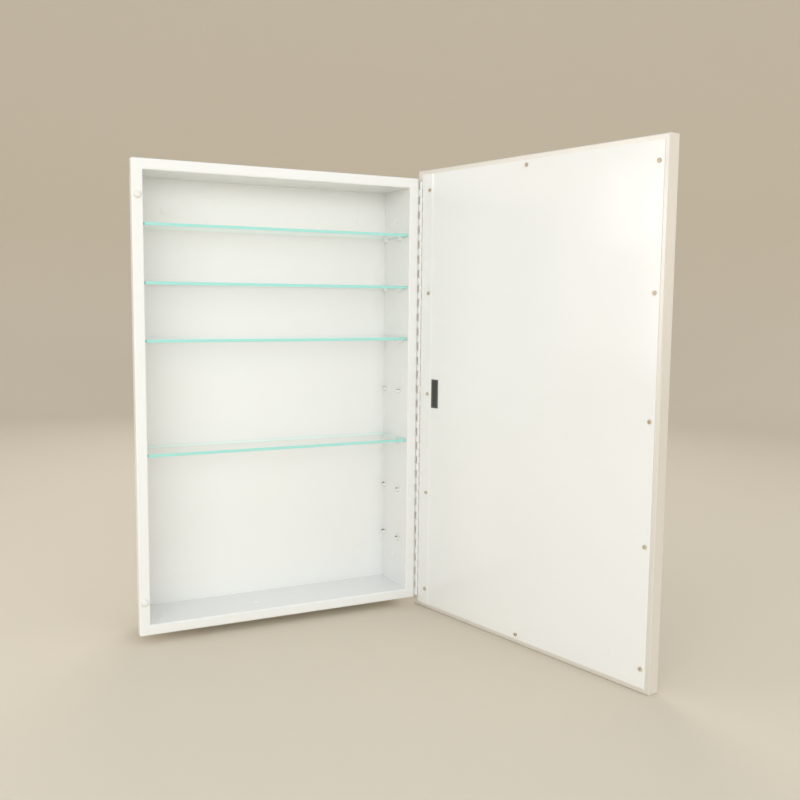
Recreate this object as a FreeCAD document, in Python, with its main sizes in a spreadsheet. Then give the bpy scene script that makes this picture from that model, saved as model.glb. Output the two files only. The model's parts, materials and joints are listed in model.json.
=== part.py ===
"""Recessed medicine cabinet: steel box, glass shelves, piano hinge and framed mirror door.

Frame: +X to the right, +Y into the wall, +Z up. The origin is the centre of the wall plane, where the
return edge of the box flange seats. The door stands open, turned about the hinge on the right.
"""
import FreeCAD, Part
import os
import re
import Sketcher

# Driving dimensions, in millimetres and degrees.
SIZES = {
    # Steel box, outside, and the flange folded out of its front.
    "box_width": 450.8,
    "box_height": 704.8,
    "recess_depth": 88.9,
    "sheet_gauge": 1.0,
    "bend_radius": 1.5,
    "flange_leg": 16.9,
    "flange_stand_off": 12.0,
    "flange_corner": 2.4,
    # Fixing holes through the back and the side walls.
    "fixing_hole_radius": 3.5,
    "fixing_hole_inset": 51.4,
    "side_hole_setback": 55.0,
    # Glass shelves and the lugs pressed out of the side walls.
    "shelf_gauge": 4.8,
    "shelf_side_play": 2.0,
    "shelf_back_play": 1.0,
    "shelf_setback": 5.0,
    "shelf_arris": 0.6,
    "lug_radius": 7.0,
    "lug_rows": 7,
    "top_row_drop": 81.9,
    "bottom_row_rise": 87.5,
    "front_lug_setback": 35.0,
    "rear_lug_gap": 2.0,
    # Door bumpers on the free side of the flange.
    "bumper_radius": 5.6,
    "bumper_taper": 1.6,
    "bumper_inset": 54.0,
    "bumper_closing_play": 0.3,
    # Piano hinge.
    "hinge_front": 4.0,
    "hinge_end_gap": 5.8,
    "barrel_radius": 2.2,
    "pin_radius": 1.1,
    "pin_clearance": 0.05,
    "leaf_gauge": 1.0,
    "leaf_lift": 0.3,
    "leaf_wall_gap": 3.0,
    "door_leaf_width": 26.0,
    "knuckle_pairs": 29,
    "knuckle_gap": 0.3,
    "notch_margin": 1.2,
    "cabinet_notch": 7.5,
    # Door, and the channel of its stainless frame.
    "door_overlap": 12.7,
    "door_depth": 20.5,
    "door_angle": 102.5,
    "frame_gauge": 1.0,
    "frame_bend": 0.4,
    "frame_face": 16.0,
    "frame_lip_margin": 2.0,
    # Mirror and what packs it inside the frame.
    "mirror_gauge": 4.8,
    "board_gauge": 4.0,
    "glazing_play": 0.5,
    # White inner panel of the door.
    "panel_gauge": 1.0,
    "panel_reveal": 7.0,
    "panel_barrel_play": 0.7,
    "panel_step_margin": 1.0,
    "panel_step_run": 4.0,
    # Panel screws.
    "screw_head_radius": 3.2,
    "screw_head_height": 2.0,
    "screw_head_round": 1.1,
    "screw_shank_radius": 1.7,
    "screw_tip_gap": 0.5,
    "screw_play": 0.1,
    "screw_slot": 0.7,
    "screw_slot_length": 3.8,
    "screw_slot_depth": 0.9,
    "screw_edge_inset": 15.0,
    "screw_end_inset": 34.4,
    "screw_leaf_inset": 4.0,
    # Blank plate on the inner panel.
    "plate_width": 16.0,
    "plate_height": 49.0,
    "plate_gauge": 0.5,
    "plate_step_gap": 1.5,
    "plate_rise": 1.5,
}

# Sizes worked out from the driving ones.
DERIVED = {
    "inside_width": "box_width - 2 * sheet_gauge",
    "inside_height": "box_height - 2 * sheet_gauge",
    "inside_depth": "flange_stand_off + recess_depth - sheet_gauge",
    "flange_width": "inside_width + 2 * flange_leg",
    "flange_height": "inside_height + 2 * flange_leg",
    "outer_bend": "bend_radius + sheet_gauge",
    "fixing_hole_spread": "inside_width - 2 * fixing_hole_inset",
    "fixing_hole_rise": "inside_height - 2 * fixing_hole_inset",
    "shelf_width": "inside_width - 2 * shelf_side_play",
    "shelf_depth": "inside_depth - shelf_setback - shelf_back_play",
    "lug_pitch": "(inside_height - top_row_drop - bottom_row_rise) / (lug_rows - 1)",
    "top_row_height": "inside_height / 2 - top_row_drop",
    "rear_lug_setback": "inside_depth - lug_radius - rear_lug_gap",
    "door_width": "flange_width + 2 * door_overlap",
    "door_height": "flange_height + 2 * door_overlap",
    "hinge_seat": "barrel_radius + leaf_lift",
    "hinge_x": "flange_width / 2 + hinge_seat",
    "hinge_y": "-flange_stand_off - hinge_front",
    "hinge_length": "flange_height - 2 * hinge_end_gap",
    "knuckle_length": "hinge_length / (2 * knuckle_pairs)",
    "notch_reach": "barrel_radius + notch_margin",
    "cabinet_leaf_width": "hinge_front + flange_stand_off - leaf_wall_gap",
    "hinge_overhang": "door_width / 2 - hinge_x",
    "door_reach": "door_width - hinge_overhang",
    "frame_outer_bend": "frame_bend + frame_gauge",
    "frame_lip": "hinge_overhang + door_leaf_width + frame_lip_margin",
    "glazing_inset": "frame_gauge + frame_bend + glazing_play",
    "filler_gauge": "door_depth - 2 * frame_gauge - mirror_gauge - board_gauge",
    "panel_hinge_gap": "barrel_radius + panel_barrel_play",
    "panel_step": "door_leaf_width + panel_step_margin",
    "panel_end": "door_reach - panel_reveal",
    "panel_height": "door_height - 2 * panel_reveal",
    "panel_face": "panel_gauge - hinge_seat",
    "strip_face": "panel_face + leaf_gauge",
    "bumper_height": "hinge_front - panel_face - bumper_closing_play",
    "bumper_across": "(flange_width - flange_leg) / 2",
    "bumper_rise": "flange_height / 2 - bumper_inset",
    "screw_length": "panel_gauge + frame_gauge + board_gauge - screw_tip_gap",
    "screw_pitch": "(door_height - 2 * screw_end_inset) / 4",
    "screw_setback": "door_leaf_width - screw_leaf_inset",
    "plate_setback": "panel_step + panel_step_run + plate_step_gap",
}

SHELF_ROWS = (1, 2, 3, 5)      # lug rows that carry a shelf, counted from the top

doc = FreeCAD.newDocument("MedicineCabinet")


def make_sheet(name, cells):
    """A spreadsheet of aliased cells, one row for each size."""
    sheet = doc.addObject("Spreadsheet::Sheet", name)
    for row, (alias, content) in enumerate(cells.items(), start=1):
        sheet.set("A%d" % row, alias)
        sheet.set("B%d" % row, content)
        sheet.setAlias("B%d" % row, alias)
    doc.recompute()
    return sheet


def linked(expression):
    """The expression with each size's name led to its own sheet."""
    def lead(match):
        word = match.group(0)
        return ("Derived." if word in DERIVED else "Size.") + word
    return re.sub(r"[a-z][a-z_]*", lead, expression)


size_sheet = make_sheet("Size", {name: str(number) for name, number in SIZES.items()})
make_sheet("Derived", {name: "=" + linked(rule) for name, rule in DERIVED.items()})


def value(expression):
    """The number that an expression of sizes gives now."""
    return float(size_sheet.evalExpression(linked(expression)))


def bind(obj, **sizes):
    """Tie an object's properties to expressions of sizes: x, y and z are its place."""
    for prop, expression in sizes.items():
        if prop in ("x", "y", "z"):
            prop = "Placement.Base." + prop
        obj.setExpression(prop, linked(expression))
    return obj


def turn(obj, axis, degrees):
    obj.Placement.Rotation = FreeCAD.Rotation(FreeCAD.Vector(*axis), degrees)
    return obj


def box(name, **sizes):
    return bind(doc.addObject("Part::Box", name), **sizes)


def cylinder(name, **sizes):
    return bind(doc.addObject("Part::Cylinder", name), **sizes)


def compound(name, members):
    group = doc.addObject("Part::Compound", name)
    group.Links = members
    return group


def fuse(name, members):
    joined = doc.addObject("Part::MultiFuse", name)
    joined.Shapes = members
    return joined


def cut(name, base, tools):
    """The base less all the tools, which stay clear of each other."""
    result = doc.addObject("Part::Cut", name)
    result.Base = base
    result.Tool = tools[0] if len(tools) == 1 else compound(name + "_cutters", tools)
    return result


def round_edges(name, base, radius, wanted):
    """A fillet on the edges of the base that the test picks."""
    doc.recompute()
    number = value(radius)
    picked = [i for i, edge in enumerate(base.Shape.Edges, start=1) if wanted(edge)]
    rounded = doc.addObject("Part::Fillet", name)
    rounded.Base = base
    rounded.Edges = [(i, number, number) for i in picked]
    return rounded


def extruded(name, corners, length, rounds=()):
    """A closed outline padded along Z, half each way, with some of its corners rounded.

    corners are pairs of expressions. rounds are pairs of corner number and radius.
    """
    body = doc.addObject("PartDesign::Body", name)
    plane = next(p for p in body.Origin.OriginFeatures if p.Role == "XY_Plane")
    sketch = body.newObject("Sketcher::SketchObject", name + "_outline")
    sketch.AttachmentSupport = [(plane, "")]
    sketch.MapMode = "FlatFace"
    points = [FreeCAD.Vector(value(x), value(y), 0) for x, y in corners]
    count = len(points)
    for i in range(count):
        sketch.addGeometry(Part.LineSegment(points[i], points[(i + 1) % count]), False)
    for i in range(count):
        sketch.addConstraint(Sketcher.Constraint("Coincident", i, 2, (i + 1) % count, 1))
    for i, pair in enumerate(corners):
        for axis, kind, expression, number in (
            (-2, "DistanceX", pair[0], points[i].x),
            (-1, "DistanceY", pair[1], points[i].y),
        ):
            if number == 0:
                sketch.addConstraint(Sketcher.Constraint("PointOnObject", i, 1, axis))
                continue
            ends = (-1, 1, i, 1) if number > 0 else (i, 1, -1, 1)
            index = sketch.addConstraint(Sketcher.Constraint(kind, *ends, abs(number)))
            rule = expression if number > 0 else "-(%s)" % expression
            sketch.setExpression("Constraints[%d]" % index, linked(rule))
    pad = body.newObject("PartDesign::Pad", name + "_pad")
    pad.Profile = sketch
    pad.SideType = "Symmetric"
    bind(pad, Length=length)
    doc.recompute()
    for corner, radius in rounds:
        spot = points[corner]
        base = body.Tip
        edges = [
            "Edge%d" % i
            for i, edge in enumerate(base.Shape.Edges, start=1)
            if all(abs(v.X - spot.x) < 1e-4 and abs(v.Y - spot.y) < 1e-4 for v in edge.Vertexes)
        ]
        fillet = body.newObject("PartDesign::Fillet", "%s_bend_%d" % (name, corner))
        fillet.Base = (base, edges)
        bind(fillet, Radius=radius)
        doc.recompute()
    return body


def mitred(name, body, span, growth, reach, depth):
    """The part of a padded section between two 45 degree mitres.

    span is the length where the section's X is zero. The length changes by twice the growth times X.
    """
    wedge = doc.addObject("Part::Wedge", name + "_mitre")
    bind(
        wedge,
        Xmin="-(%s)" % depth, X2min="-(%s)" % depth, Ymax=reach,
        Zmin="-(%s) / 2" % span, Zmax="(%s) / 2" % span,
        Z2min="-(%s) / 2 - (%d) * (%s)" % (span, growth, reach),
        Z2max="(%s) / 2 + (%d) * (%s)" % (span, growth, reach),
    )
    wedge.Xmax = 0
    wedge.X2max = 0
    wedge.Ymin = 0
    turn(wedge, (0, 0, 1), -90)
    result = doc.addObject("Part::Common", name)
    result.Base = body
    result.Tool = wedge
    return result


def folded_wall(name, inside_span):
    """One wall of the box: sheet folded out to the flange and back to the wall plane."""
    corners = [
        ("0", "inside_depth"),
        ("0", "0"),
        ("flange_leg", "0"),
        ("flange_leg", "flange_stand_off"),
        ("flange_leg - sheet_gauge", "flange_stand_off"),
        ("flange_leg - sheet_gauge", "sheet_gauge"),
        ("sheet_gauge", "sheet_gauge"),
        ("sheet_gauge", "inside_depth"),
    ]
    rounds = [(1, "outer_bend"), (2, "outer_bend"), (5, "bend_radius"), (6, "bend_radius")]
    section = extruded(name + "_section", corners, inside_span + " + 2 * flange_leg", rounds)
    return mitred(name, section, inside_span, 1, "flange_leg", "inside_depth")


def flange_trim():
    """A block as large as the flange, with rounded corners, to which the walls are trimmed."""
    block = box(
        "flange_block", Length="flange_width", Width="flange_stand_off + recess_depth",
        Height="flange_height", x="-flange_width / 2", y="-flange_stand_off", z="-flange_height / 2",
    )
    return round_edges(
        "flange_trim", block, "flange_corner", lambda edge: abs(edge.tangentAt(edge.FirstParameter).y) > 0.9,
    )


def trimmed(name, wall, trim):
    """A wall of the box, with the flange's corners rounded."""
    result = doc.addObject("Part::Common", name)
    result.Base = wall
    result.Tool = trim
    return result


def lug_heights():
    """Heights of the lug rows' seats, from the top row down."""
    return ["top_row_height - %d * lug_pitch" % row for row in range(int(value("lug_rows")))]


def lug(name, radius, sweep, y, z):
    """The lower half of a ball on the wall's outer face: a lug, or the hollow behind it."""
    ball = doc.addObject("Part::Sphere", name)
    ball.Angle1 = -90
    ball.Angle2 = 0
    ball.Angle3 = sweep
    turn(ball, (0, 0, 1), 90)
    return bind(ball, Radius=radius, x="sheet_gauge", y=y, z=z)


def side_walls(trim):
    """Right wall, with its shelf lugs and fixing holes, and the left wall, its mirror image."""
    wall = folded_wall("right_wall_blank", "inside_height")
    lugs = []
    tools = []
    for row, height in enumerate(lug_heights(), start=1):
        for end, setback in (("front", "front_lug_setback"), ("rear", "rear_lug_setback")):
            tag = "%s_%d" % (end, row)
            lugs.append(lug("lug_" + tag, "lug_radius", 180, setback, height))
            tools.append(lug("hollow_" + tag, "lug_radius - sheet_gauge", 360, setback, height))
    for tag, side in (("upper", "1"), ("lower", "-1")):
        hole = cylinder(
            "side_hole_" + tag, Radius="fixing_hole_radius", Height="3 * sheet_gauge",
            x="-sheet_gauge", y="side_hole_setback", z="(%s) * fixing_hole_rise / 2" % side,
        )
        tools.append(turn(hole, (0, 1, 0), 90))
    pierced = cut("right_wall_pierced", fuse("right_wall_with_lugs", [wall] + lugs), tools)
    bind(pierced, x="inside_width / 2", y="-flange_stand_off")
    right = trimmed("right_side_wall", pierced, trim)
    left = doc.addObject("Part::Mirroring", "left_side_wall")
    left.Source = right
    left.Normal = FreeCAD.Vector(1, 0, 0)
    return [right, left]


def end_walls(trim):
    """Top and bottom walls of the box."""
    made = []
    for name, quarter_turn, side in (("top_wall", -90, "1"), ("bottom_wall", 90, "-1")):
        wall = turn(folded_wall(name + "_folded", "inside_width"), (0, 1, 0), quarter_turn)
        bind(wall, y="-flange_stand_off", z="(%s) * inside_height / 2" % side)
        made.append(trimmed(name, wall, trim))
    return made


def back_panel():
    """Flat back of the box, with its fixing holes."""
    blank = box(
        "back_blank", Length="box_width", Width="sheet_gauge", Height="box_height",
        x="-box_width / 2", y="inside_depth - flange_stand_off", z="-box_height / 2",
    )
    holes = []
    for number, (across, up) in enumerate(((-1, -1), (1, -1), (1, 1), (-1, 1)), start=1):
        hole = cylinder(
            "back_hole_%d" % number, Radius="fixing_hole_radius", Height="3 * sheet_gauge",
            x="(%d) * fixing_hole_spread / 2" % across, y="recess_depth - 2 * sheet_gauge",
            z="(%d) * fixing_hole_rise / 2" % up,
        )
        holes.append(turn(hole, (1, 0, 0), -90))
    return [cut("back_panel", blank, holes)]


def shelves():
    """Loose glass shelves, each lying on four lugs."""
    heights = lug_heights()
    made = []
    for number, row in enumerate(SHELF_ROWS, start=1):
        pane = box(
            "shelf_%d_pane" % number, Length="shelf_width", Width="shelf_depth", Height="shelf_gauge",
            x="-shelf_width / 2", y="shelf_setback - flange_stand_off", z=heights[row - 1],
        )
        made.append(round_edges("shelf_%d" % number, pane, "shelf_arris", lambda edge: True))
    return made


def bumpers():
    """Soft buttons on the free side of the flange, which the closed door meets."""
    made = []
    for name, side in (("upper_bumper", "1"), ("lower_bumper", "-1")):
        button = bind(
            doc.addObject("Part::Cone", name), Height="bumper_height",
            Radius1="bumper_radius", Radius2="bumper_radius - bumper_taper",
            x="-bumper_across", y="-flange_stand_off", z="(%s) * bumper_rise" % side,
        )
        made.append(turn(button, (1, 0, 0), 90))
    return made


def hinge_leaf(name, leaf_width, first_notch, notch_end):
    """A leaf rolled round a pin at the origin, and the notches for the other leaf's knuckles.

    The leaf runs along +Y, and its seat is at X = -hinge_seat. The notches run in to notch_end.
    """
    plate = box(
        name + "_plate", Length="leaf_gauge", Width=leaf_width, Height="hinge_length",
        x="-hinge_seat", z="-hinge_length / 2",
    )
    barrel = cylinder(
        name + "_barrel", Radius="barrel_radius", Height="hinge_length", z="-hinge_length / 2",
    )
    bore = cylinder(
        name + "_bore", Radius="pin_radius + pin_clearance", Height="hinge_length", z="-hinge_length / 2",
    )
    notches = []
    for pair in range(int(value("knuckle_pairs"))):
        notches.append(box(
            "%s_notch_%d" % (name, pair), Length="2 * notch_reach", Width="notch_reach + " + notch_end,
            Height="knuckle_length + knuckle_gap", x="-notch_reach", y="-notch_reach",
            z="hinge_length / 2 - %d * knuckle_length - knuckle_gap / 2" % (2 * pair + first_notch),
        ))
    rolled = cut(name + "_rolled", fuse(name + "_strip", [plate, barrel]), [bore])
    return rolled, notches


def cabinet_hinge():
    """Pin, and the leaf that is welded to the side of the flange."""
    rolled, notches = hinge_leaf("cabinet_leaf", "cabinet_leaf_width", 1, "cabinet_notch")
    leaf = cut("cabinet_hinge_leaf", rolled, notches)
    pin = cylinder(
        "hinge_pin", Radius="pin_radius", Height="hinge_length",
        x="hinge_x", y="hinge_y", z="-hinge_length / 2",
    )
    return [bind(leaf, x="hinge_x", y="hinge_y"), pin]


def on_door(obj):
    """Hang a piece of the door on the hinge, turned open.

    The door's pieces are drawn closed, with the hinge pin at the origin: the door runs along -X and the
    mirror faces -Y.
    """
    turn(obj, (0, 0, 1), value("door_angle"))
    obj.setExpression("Placement.Rotation.Angle", linked("door_angle"))
    return bind(obj, x="hinge_x", y="hinge_y")


def screw_places():
    """Across, height and head seat of each panel screw."""
    columns = (("-screw_setback", "strip_face"), ("screw_edge_inset - door_reach", "panel_face"))
    places = [
        (across, "(%d) * screw_pitch" % step, seat)
        for across, seat in columns
        for step in (-2, -1, 0, 1, 2)
    ]
    middle = "hinge_overhang - door_width / 2"
    for side in (1, -1):
        places.append((middle, "(%d) * (door_height / 2 - screw_edge_inset)" % side, "panel_face"))
    return places


def screw_holes():
    """Clearance holes for the panel screws, through all that they hold."""
    holes = []
    for number, (across, height, seat) in enumerate(screw_places(), start=1):
        hole = cylinder(
            "screw_hole_%d" % number, Radius="screw_shank_radius + screw_play",
            Height="screw_length + board_gauge", x=across, y=seat, z=height,
        )
        holes.append(turn(hole, (1, 0, 0), 90))
    return compound("screw_holes", holes)


def door_leaf(holes):
    """The hinge leaf between the frame's lip and the panel."""
    rolled, notches = hinge_leaf("door_leaf", "door_leaf_width", 2, "notch_reach")
    turn(rolled, (0, 0, 1), 90)
    return [on_door(cut("door_hinge_leaf", rolled, notches + [holes]))]


def frame_rail(name, length):
    """A mitred length of the frame's channel: X runs in from the door's edge, Y from the mirror's face."""
    corners = [
        ("0", "0"),
        ("frame_face", "0"),
        ("frame_face", "frame_gauge"),
        ("frame_gauge", "frame_gauge"),
        ("frame_gauge", "door_depth - frame_gauge"),
        ("frame_lip", "door_depth - frame_gauge"),
        ("frame_lip", "door_depth"),
        ("0", "door_depth"),
    ]
    rounds = [(0, "frame_outer_bend"), (7, "frame_outer_bend"), (3, "frame_bend"), (4, "frame_bend")]
    section = extruded(name + "_section", corners, length, rounds)
    return mitred(name, section, length, -1, "frame_lip", "door_depth")


def door_frame(holes):
    """Four rails of the stainless frame."""
    middle = "hinge_overhang - door_width / 2"
    rails = (
        ("door_hinge_rail", "door_height", 180, "hinge_overhang", "0"),
        ("door_free_rail", "door_height", 0, "-door_reach", "0"),
        ("door_top_rail", "door_width", 90, middle, "door_height / 2"),
        ("door_bottom_rail", "door_width", -90, middle, "-door_height / 2"),
    )
    made = []
    for name, length, degrees, across, height in rails:
        rail = turn(frame_rail(name + "_bare", length), (0, 1, 0), degrees)
        bind(rail, x=across, y="-hinge_seat - door_depth", z=height)
        made.append(on_door(cut(name, rail, [holes])))
    return made


def door_sheet(name, front, gauge):
    """A flat sheet inside the frame, from the depth given behind the mirror's side of the door."""
    near = "-hinge_seat - door_depth + %s" % front
    far = "%s + %s" % (near, gauge)
    right = "hinge_overhang - glazing_inset"
    left = "glazing_inset - door_reach"
    corners = [(left, near), (right, near), (right, far), (left, far)]
    return extruded(name, corners, "door_height - 2 * glazing_inset")


def door_filling(holes):
    """Mirror, corrugated filler and backing board, packed between the frame's face and lip."""
    mirror = door_sheet("mirror_glass", "frame_gauge", "mirror_gauge")
    filler = door_sheet("corrugated_filler", "frame_gauge + mirror_gauge", "filler_gauge")
    blank = door_sheet("board_blank", "frame_gauge + mirror_gauge + filler_gauge", "board_gauge")
    board = cut("backing_board", blank, [holes])
    return [on_door(sheet) for sheet in (mirror, filler, board)]


def door_panel(holes):
    """White inner panel, stepped along the hinge side to pass over the leaf."""
    step = "-panel_step"
    foot = "-panel_step - panel_step_run"
    end = "-panel_end"
    corners = [
        ("-panel_hinge_gap", "strip_face"),
        (step, "strip_face"),
        (foot, "panel_face"),
        (end, "panel_face"),
        (end, "panel_face - panel_gauge"),
        (foot, "panel_face - panel_gauge"),
        (step, "strip_face - panel_gauge"),
        ("-panel_hinge_gap", "strip_face - panel_gauge"),
    ]
    blank = extruded("panel_blank", corners, "panel_height")
    return [on_door(cut("door_inner_panel", blank, [holes]))]


def panel_screws():
    """Cross-slot pan screws that hold the panel, the leaf and the frame together."""
    head = cylinder("screw_head_blank", Radius="screw_head_radius", Height="screw_head_height")
    top = value("screw_head_height")
    crown = round_edges(
        "screw_crown", head, "screw_head_round",
        lambda edge: edge.Closed and abs(edge.CenterOfMass.z - top) < 1e-4,
    )
    shank = cylinder("screw_shank", Radius="screw_shank_radius", Height="screw_length", z="-screw_length")
    slots = []
    for name, along, across in (
        ("slot_along", "screw_slot_length", "screw_slot"),
        ("slot_across", "screw_slot", "screw_slot_length"),
    ):
        slots.append(box(
            name, Length=along, Width=across, Height="screw_slot_depth",
            x="-(%s) / 2" % along, y="-(%s) / 2" % across, z="screw_head_height - screw_slot_depth",
        ))
    screw = cut("panel_screw", fuse("screw_blank", [crown, shank]), [fuse("cross_slot", slots)])
    doc.recompute()
    upright = FreeCAD.Rotation(FreeCAD.Vector(1, 0, 0), -90)
    copies = []
    for across, height, seat in screw_places():
        copy = screw.Shape.copy()
        place = FreeCAD.Vector(value(across), value(seat), value(height))
        copy.Placement = FreeCAD.Placement(place, upright)
        copies.append(copy)
    group = doc.addObject("Part::Feature", "panel_screws")
    group.Shape = Part.makeCompound(copies)
    return [on_door(group)]


def label_plate():
    """Blank plate on the inner panel, near the hinge."""
    right = "-plate_setback"
    left = "-plate_setback - plate_width"
    top = "panel_face + plate_gauge"
    corners = [(left, "panel_face"), (right, "panel_face"), (right, top), (left, top)]
    plate = extruded("label_plate", corners, "plate_height")
    return [bind(on_door(plate), z="plate_rise")]


def build():
    """Every piece of the cabinet."""
    trim = flange_trim()
    pieces = side_walls(trim) + end_walls(trim) + back_panel() + shelves() + bumpers() + cabinet_hinge()
    holes = screw_holes()
    pieces += door_leaf(holes) + door_frame(holes) + door_filling(holes) + door_panel(holes)
    pieces += panel_screws() + label_plate()
    for piece in pieces:
        piece.Label = piece.Name
    doc.recompute()
    return pieces


def check(pieces):
    """Stop if any object failed, or any piece has no sound shape."""
    for obj in doc.Objects:
        if "Invalid" in obj.State or "Error" in obj.State:
            raise RuntimeError("%s failed: %s" % (obj.Name, obj.State))
    for piece in pieces:
        if piece.Shape.isNull() or not piece.Shape.isValid():
            raise RuntimeError("%s has no sound shape" % piece.Label)


def export(pieces):
    """Write each piece to its own file."""
    os.makedirs("parts", exist_ok=True)
    for piece in pieces:
        piece.Shape.exportStep("parts/%s.step" % piece.Label)
        print(piece.Label, len(piece.Shape.Solids), round(piece.Shape.Volume, 1))


finished = build()
check(finished)
export(finished)
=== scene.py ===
"""Finishes, small fittings and studio for an open medicine cabinet."""
import json
import math
from typing import NamedTuple

import bmesh
import bpy
from bpy.props import FloatProperty, FloatVectorProperty, IntProperty, PointerProperty
from mathutils import Matrix, Vector


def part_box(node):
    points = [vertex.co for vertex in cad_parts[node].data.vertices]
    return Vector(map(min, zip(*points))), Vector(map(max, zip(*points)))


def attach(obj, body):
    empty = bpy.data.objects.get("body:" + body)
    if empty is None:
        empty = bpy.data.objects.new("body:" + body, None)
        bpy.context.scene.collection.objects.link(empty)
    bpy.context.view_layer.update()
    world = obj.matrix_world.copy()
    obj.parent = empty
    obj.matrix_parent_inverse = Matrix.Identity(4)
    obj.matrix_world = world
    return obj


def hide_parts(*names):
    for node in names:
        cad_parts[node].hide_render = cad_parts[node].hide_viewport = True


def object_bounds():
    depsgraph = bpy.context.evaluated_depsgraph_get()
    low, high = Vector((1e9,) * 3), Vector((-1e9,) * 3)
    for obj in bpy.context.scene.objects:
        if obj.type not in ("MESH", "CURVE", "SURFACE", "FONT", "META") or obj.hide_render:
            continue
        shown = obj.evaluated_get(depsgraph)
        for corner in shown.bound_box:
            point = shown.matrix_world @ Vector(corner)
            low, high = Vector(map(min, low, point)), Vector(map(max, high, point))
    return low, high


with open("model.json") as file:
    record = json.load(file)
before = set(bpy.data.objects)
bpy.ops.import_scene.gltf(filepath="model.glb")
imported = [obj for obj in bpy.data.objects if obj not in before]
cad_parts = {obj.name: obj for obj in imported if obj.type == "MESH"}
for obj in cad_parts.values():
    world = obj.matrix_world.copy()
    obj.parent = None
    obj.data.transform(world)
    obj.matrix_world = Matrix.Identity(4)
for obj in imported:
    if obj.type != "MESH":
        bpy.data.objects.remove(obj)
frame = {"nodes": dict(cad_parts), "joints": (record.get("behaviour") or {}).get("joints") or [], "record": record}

bl_info = {
    "name": "Medicine cabinet",
    "version": (1, 0, 0),
    "blender": (4, 5, 0),
    "location": "View3D > Sidebar > Cabinet",
    "description": "Finishes, small fittings and studio for an open medicine cabinet",
    "category": "Object",
}

MM = 0.001
CAD_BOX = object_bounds()

# The door's own axes: the hinge pin is the origin, the closed door runs along -X and its panel faces +Y.
SWING = next(joint for joint in frame["joints"] if joint["name"] == "door_swing")
HINGE = Vector(SWING["pos_m"])
OPEN_ANGLE = math.radians(-SWING["range_deg"][0])
DOOR_AXES = Matrix.Translation(HINGE) @ Matrix.Rotation(OPEN_ANGLE, 4, "Z")

SIDE_WALLS = ("right_side_wall", "left_side_wall")
PLAIN_WALLS = ("top_wall", "bottom_wall", "back_panel")
SHELF_NODES = tuple(node for node in frame["nodes"] if node.startswith("shelf_"))
UPRIGHT_RAILS = ("door_hinge_rail", "door_free_rail")
LEVEL_RAILS = ("door_top_rail", "door_bottom_rail")

# Cells of the steel's grain to the metre, along each of the door's own axes.
UPRIGHT_GRAIN = (1500.0, 1500.0, 9.0)
LEVEL_GRAIN = (9.0, 1500.0, 1500.0)

# How finely round forms are divided.
HEAD_SIDES = 40
BUMPER_SIDES = 48
COVE_SIDES = 96
COVE_RINGS = 12
RAMP_STEPS = 10
ROUNDING_STEPS = 5
EDGE_STEPS = 3
RIM_STEPS = 2

# Points nearer than this count as level with each other.
NEAR = 0.05 * MM

# Edges past this angle stay sharp, and large flat faces lead the shading of their roundings.
SHARP_ANGLE = math.radians(35)
FLAT_WEIGHT = 90

# Edges past these angles are rounded: those of the door panel's sheet, and those of the plate's rim.
SHEET_EDGE = math.radians(50)
RIM_EDGE = 1.2

# All points of one screw lie within this of each other. Each screw stops at its own turn, which follows
# its place on the door, in radians to the metre.
SCREW_REACH = 20 * MM
SCREW_TURN_ACROSS = 25
SCREW_TURN_UP = 40

# Shares: width that a screw's recess keeps at its foot, width that a plug's shank keeps at its foot, and
# how much of the height of a plug's head is rounded.
RECESS_FOOT = 0.45
PLUG_FOOT = 0.9
PLUG_ROUNDING = 0.85

# The studio: room between the cabinet and the floor, and the cast of the two lights in front.
FLOOR_GAP = 0.5 * MM
COOL = (0.89, 0.953, 1.0)


class Lamp(NamedTuple):
    """A soft box of the studio. Only a mirrored one shows in glossy surfaces."""
    name: str
    place: tuple
    wide: float
    tall: float
    power: float
    colour: tuple
    mirrored: bool


LAMPS = (
    Lamp("key_light", (-1.6, -2.6, 0.75), 3.0, 1.5, 45.0, COOL, False),
    Lamp("front_fill", (0.9, -3.0, 0.6), 2.0, 1.2, 14.0, COOL, False),
    Lamp("left_card", (-1.9, 0.55, 0.55), 1.8, 1.2, 3.6, (0.98, 0.99, 1.0), True),
    Lamp("window", (-1.65, 0.47, 0.51), 0.2, 0.28, 0.34, (1.0, 1.0, 1.0), True),
    Lamp("lip_strip", (-1.67, 0.29, 0.35), 0.24, 0.9, 1.3, (1.0, 0.99, 0.97), True),
    Lamp("edge_card", (2.2, -1.35, 0.55), 1.6, 1.2, 1.9, (1.0, 0.975, 0.93), True),
    Lamp("back_light", (0.9, 1.9, 1.6), 1.4, 1.4, 16.0, (1.0, 0.98, 0.95), False),
)


# Sizes and colours

def colour(name, description, default):
    return FloatVectorProperty(
        name=name, description=description, default=default, size=3, subtype="COLOR", min=0, max=1,
    )


def length(name, description, default):
    return FloatProperty(
        name=name, description=description, default=default, unit="LENGTH", subtype="DISTANCE", precision=5,
    )


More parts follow.
